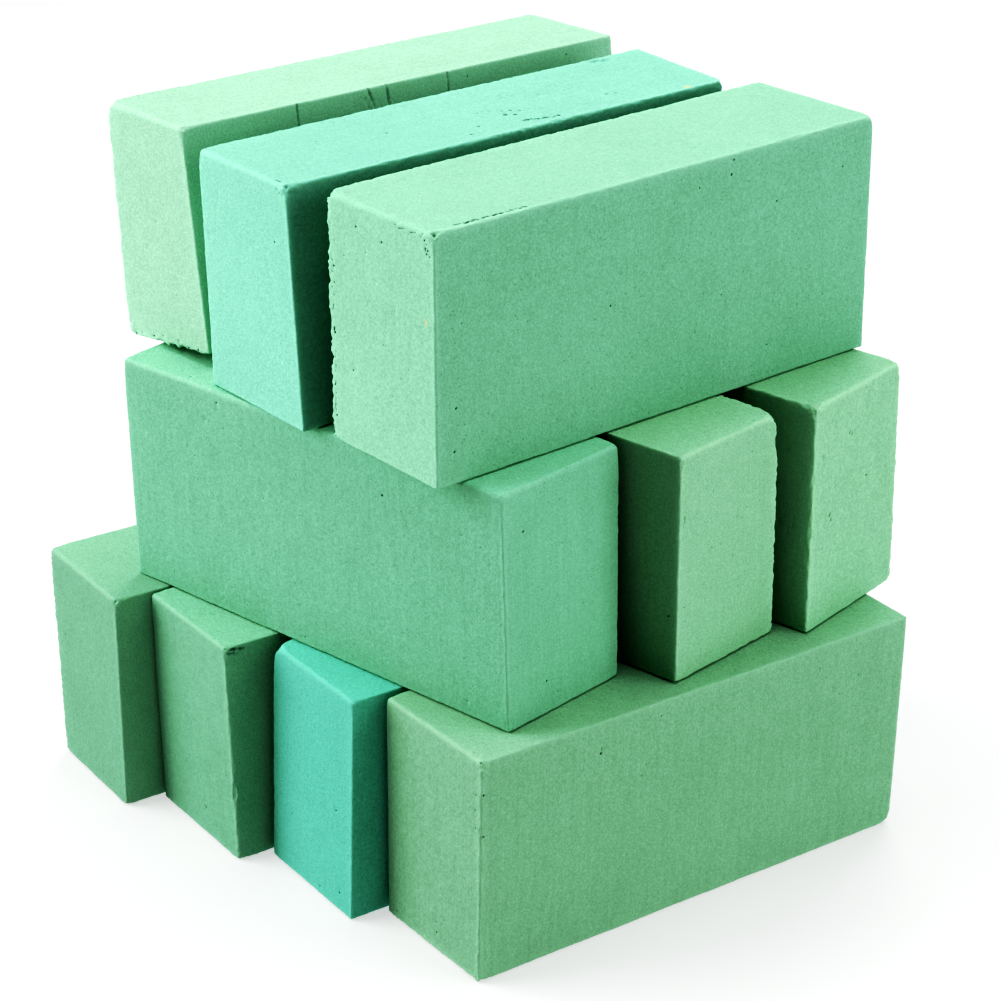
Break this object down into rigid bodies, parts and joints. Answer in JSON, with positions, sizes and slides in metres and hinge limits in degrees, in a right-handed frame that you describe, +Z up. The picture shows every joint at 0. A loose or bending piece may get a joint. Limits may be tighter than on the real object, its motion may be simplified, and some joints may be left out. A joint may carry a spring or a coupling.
{
  "type": "floral foam brick",
  "caption": "Loose stack of wet floral foam bricks on their narrow sides in crossed tiers, for soaking, cutting and holding cut flower stems.",
  "frame": {"origin": "floor level, under the middle of the stack's bounding box", "axes": "+Z up; the bottom and top tiers' bricks run along Y within about 5 degrees, the middle tier's along X within about 9 degrees; -Y is the front"},
  "size_m": [0.3005, 0.2805, 0.315],
  "materials": {
    "foam_green": "fine open-cell foam, dead matt",
    "foam_mint": "fine open-cell foam, dead matt, paler green",
    "foam_aqua": "fine open-cell foam, dead matt, blue-green"
  },
  "bodies": {
    "bottom_left": {"bottom_left_brick": "foam_green"},
    "bottom_inner": {"bottom_inner_brick": "foam_green"},
    "bottom_aqua": {"bottom_aqua_brick": "foam_aqua"},
    "bottom_right": {"bottom_right_brick": "foam_green"},
    "middle_front": {"middle_front_brick": "foam_green"},
    "middle_centre": {"middle_centre_brick": "foam_green"},
    "middle_rear": {"middle_rear_brick": "foam_green"},
    "top_left": {"top_left_brick": "foam_mint"},
    "top_aqua": {"top_aqua_brick": "foam_aqua"},
    "top_right": {"top_right_brick": "foam_mint"}
  },
  "joints": [
    {"name": "bottom_left_draw", "type": "slide", "parent": "bottom_aqua", "child": "bottom_left", "axis": [-0.0906, -0.9959, 0], "range_m": [0, 0.27]},
    {"name": "bottom_inner_draw", "type": "slide", "parent": "bottom_aqua", "child": "bottom_inner", "axis": [-0.0872, -0.9962, 0], "range_m": [0, 0.27]},
    {"name": "bottom_right_draw", "type": "slide", "parent": "bottom_aqua", "child": "bottom_right", "axis": [-0.0837, -0.9965, 0], "range_m": [0, 0.27]},
    {"name": "middle_front_draw", "type": "slide", "parent": "bottom_aqua", "child": "middle_front", "axis": [0.9893, 0.1461, 0], "range_m": [0, 0.27]},
    {"name": "middle_centre_draw", "type": "slide", "parent": "bottom_aqua", "child": "middle_centre", "axis": [0.9893, 0.1461, 0], "range_m": [0, 0.27]},
    {"name": "middle_rear_draw", "type": "slide", "parent": "bottom_aqua", "child": "middle_rear", "axis": [0.9882, 0.153, 0], "range_m": [0, 0.27]},
    {"name": "top_left_lift", "type": "slide", "parent": "bottom_aqua", "child": "top_left", "axis": [0, 0, 1], "range_m": [0, 0.13]},
    {"name": "top_aqua_lift", "type": "slide", "parent": "bottom_aqua", "child": "top_aqua", "axis": [0, 0, 1], "range_m": [0, 0.13]},
    {"name": "top_right_lift", "type": "slide", "parent": "bottom_aqua", "child": "top_right", "axis": [0, 0, 1], "range_m": [0, 0.13]}
  ]
}
